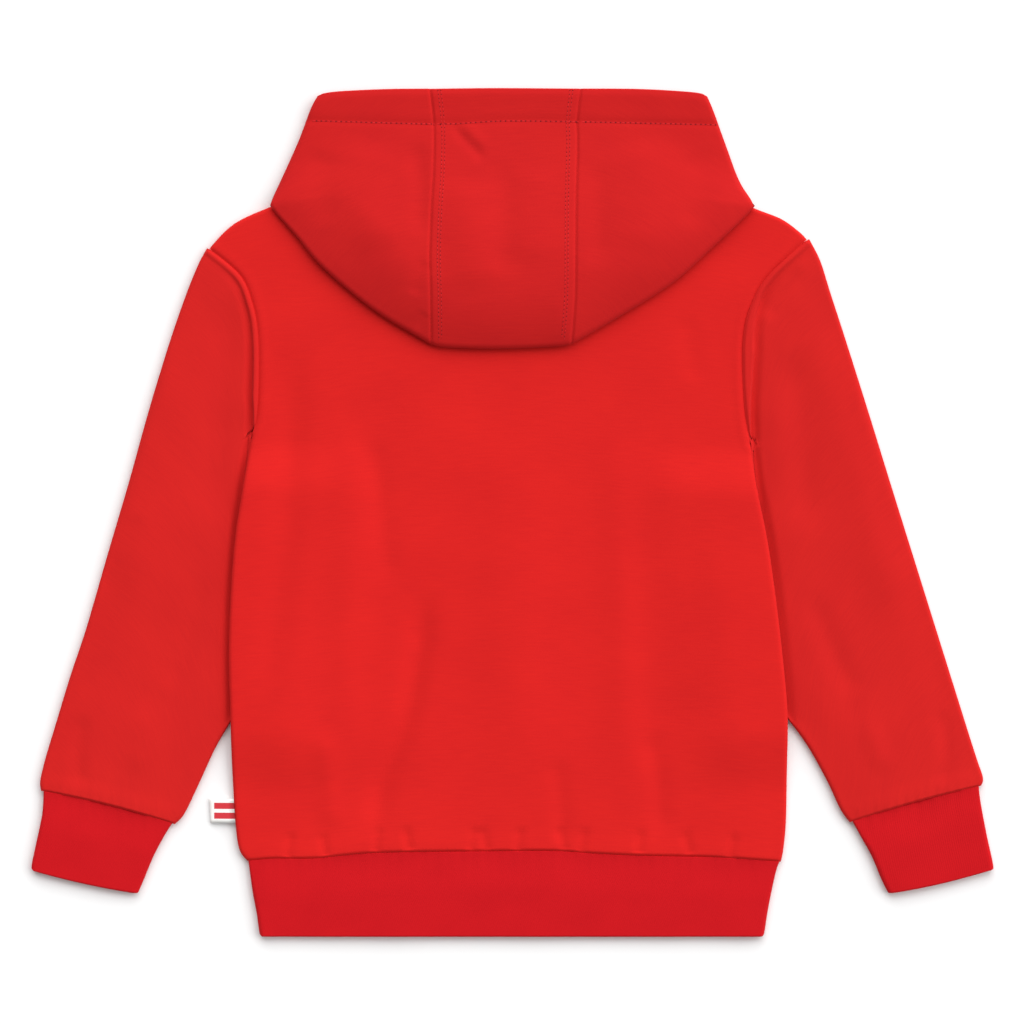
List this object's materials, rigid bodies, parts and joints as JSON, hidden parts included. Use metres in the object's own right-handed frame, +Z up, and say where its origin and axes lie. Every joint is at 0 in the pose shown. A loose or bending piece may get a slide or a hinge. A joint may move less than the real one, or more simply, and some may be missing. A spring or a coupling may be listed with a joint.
{
  "type": "kids hoodie laid flat",
  "caption": "Red kids pullover hoodie lying flat with its back up, long sleeves, rib cuffs and waistband, hood folded over the back.",
  "frame": {"origin": "middle of the footprint, on the surface that the garment lies on", "axes": "+X across the garment from sleeve to sleeve, +Y from the waistband to the hood, +Z up out of the surface"},
  "size_m": [0.6736, 0.5934, 0.0141],
  "materials": {
    "terry": "brushed-back cotton terry, fine matt knit face",
    "rib": "fine cotton rib knit with elastane, doubled",
    "woven_tape": "woven polyester tape, folded double"
  },
  "bodies": {
    "root": {"front_panel": "terry", "back_panel": "terry", "left_sleeve": "terry", "right_sleeve": "terry", "left_cuff": "rib", "right_cuff": "rib", "waistband": "rib", "hood_left_panel": "terry", "hood_centre_panel": "terry", "hood_right_panel": "terry", "side_label": "woven_tape"}
  },
  "joints": []
}
